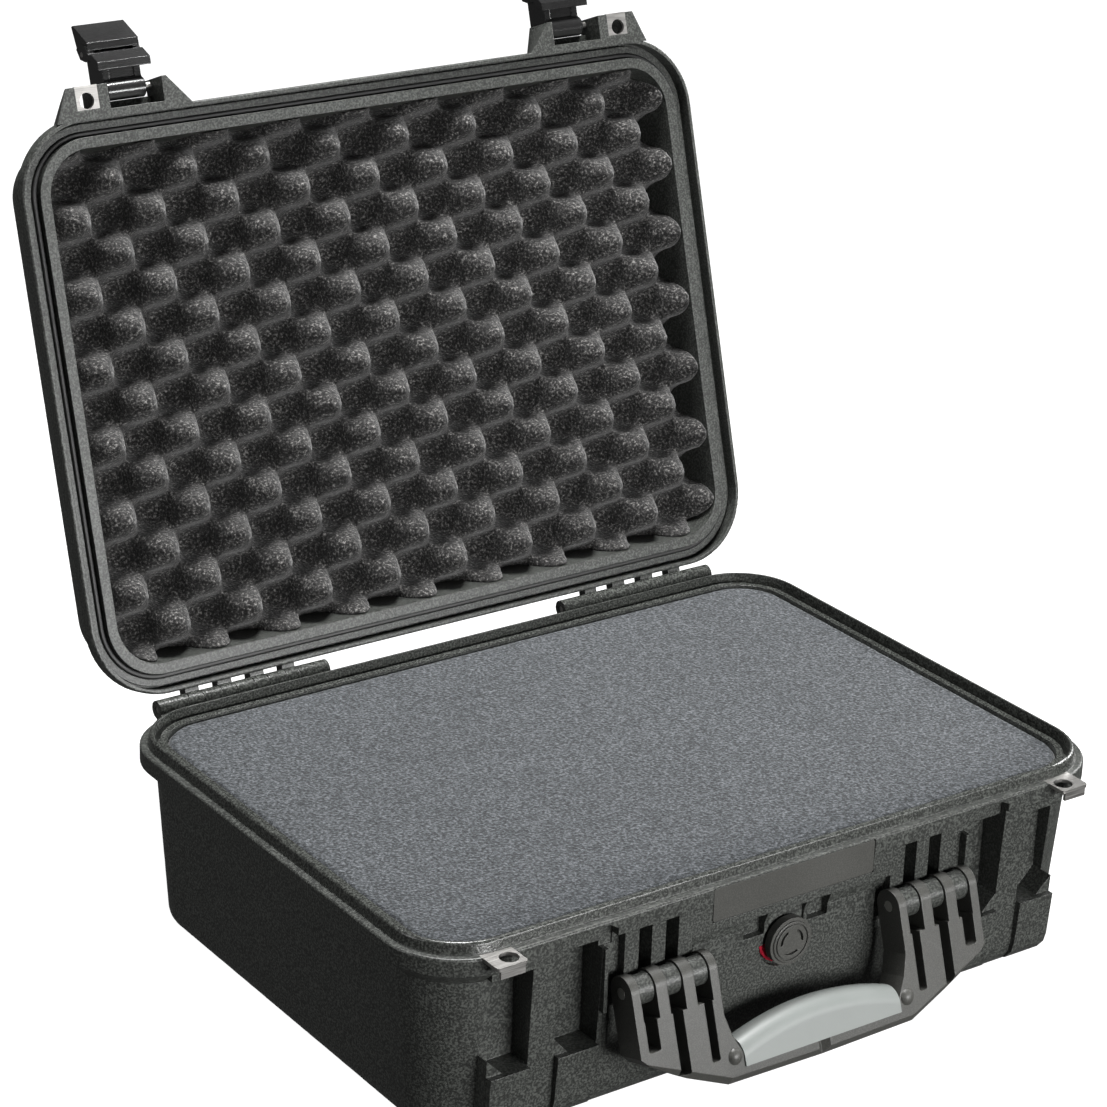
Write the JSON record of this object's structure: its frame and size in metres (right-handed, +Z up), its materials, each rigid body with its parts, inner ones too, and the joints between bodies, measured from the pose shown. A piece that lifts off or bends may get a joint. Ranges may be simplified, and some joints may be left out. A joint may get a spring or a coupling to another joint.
{
  "type": "hard equipment case",
  "caption": "Hinged, foam-lined hard case with draw latches, a folding carry handle, padlock plates and a pressure relief valve.",
  "frame": {"origin": "centre of the flat underside of the base", "axes": "+Z up, front with the handle towards -Y, hinges towards +Y, +X to the right seen from the front; the lid stands open at 106.45 degrees at rest"},
  "size_m": [0.47, 0.5245, 0.4876],
  "materials": {
    "case_resin": "fine moulded grain",
    "smooth_resin": "satin",
    "latch_resin": "semi-gloss",
    "grey_grip": "soft matte",
    "red_seal": "satin",
    "black_rubber": "matte",
    "stainless": "brushed",
    "pluck_foam": "fine open-cell foam",
    "convoluted_foam": "open-cell foam"
  },
  "bodies": {
    "base": {"base_shell": "case_resin", "base_foam": "pluck_foam", "base_pad": "pluck_foam", "nameplate": "smooth_resin", "valve_body": "smooth_resin", "valve_seal": "red_seal", "valve_nut": "smooth_resin", "base_padlock_plate_left": "stainless", "base_padlock_plate_right": "stainless", "hinge_pin_left": "stainless", "hinge_pin_right": "stainless", "handle_pin_left": "stainless", "handle_pin_right": "stainless"},
    "valve_stem": {"valve_stem": "smooth_resin"},
    "valve_knob": {"valve_knob": "smooth_resin"},
    "handle": {"handle_frame": "smooth_resin", "handle_grip": "grey_grip"},
    "lid": {"lid_shell": "case_resin", "lid_gasket": "black_rubber", "lid_foam": "convoluted_foam", "lid_padlock_plate_left": "stainless", "lid_padlock_plate_right": "stainless", "latch_pin_left": "stainless", "latch_pin_right": "stainless"},
    "latch_link_left": {"latch_link_left": "latch_resin", "lever_pin_left": "stainless"},
    "latch_lever_left": {"latch_lever_left": "latch_resin"},
    "latch_link_right": {"latch_link_right": "latch_resin", "lever_pin_right": "stainless"},
    "latch_lever_right": {"latch_lever_right": "latch_resin"}
  },
  "joints": [
    {"name": "lid_hinge", "type": "hinge", "parent": "base", "child": "lid", "pos_m": [0, 0.176, 0.11775], "axis": [1, 0, 0], "range_deg": [0, 106.45]},
    {"name": "handle_hinge", "type": "hinge", "parent": "base", "child": "handle", "pos_m": [0, -0.174, 0.0752], "axis": [-1, 0, 0], "range_deg": [-16, 72]},
    {"name": "valve_travel", "type": "slide", "parent": "base", "child": "valve_stem", "axis": [0, 1, 0], "range_m": [0, 0.0017]},
    {"name": "valve_turn", "type": "hinge", "parent": "valve_stem", "child": "valve_knob", "pos_m": [0, -0.165, 0.0685], "axis": [0, 1, 0], "range_deg": [0, 360]},
    {"name": "latch_link_left_hinge", "type": "hinge", "parent": "lid", "child": "latch_link_left", "pos_m": [-0.1545, 0.29155, 0.45524], "axis": [1, 0, 0], "range_deg": [0, 95]},
    {"name": "latch_lever_left_hinge", "type": "hinge", "parent": "latch_link_left", "child": "latch_lever_left", "pos_m": [-0.1545, 0.3092, 0.47323], "axis": [1, 0, 0], "range_deg": [-68, 0]},
    {"name": "latch_link_right_hinge", "type": "hinge", "parent": "lid", "child": "latch_link_right", "pos_m": [0.1545, 0.29155, 0.45524], "axis": [1, 0, 0], "range_deg": [0, 95]},
    {"name": "latch_lever_right_hinge", "type": "hinge", "parent": "latch_link_right", "child": "latch_lever_right", "pos_m": [0.1545, 0.3092, 0.47323], "axis": [1, 0, 0], "range_deg": [-68, 0]}
  ],
  "couplings": [
    {"joint": "valve_turn", "follows": "valve_travel", "rad_per_m": 3696}
  ]
}
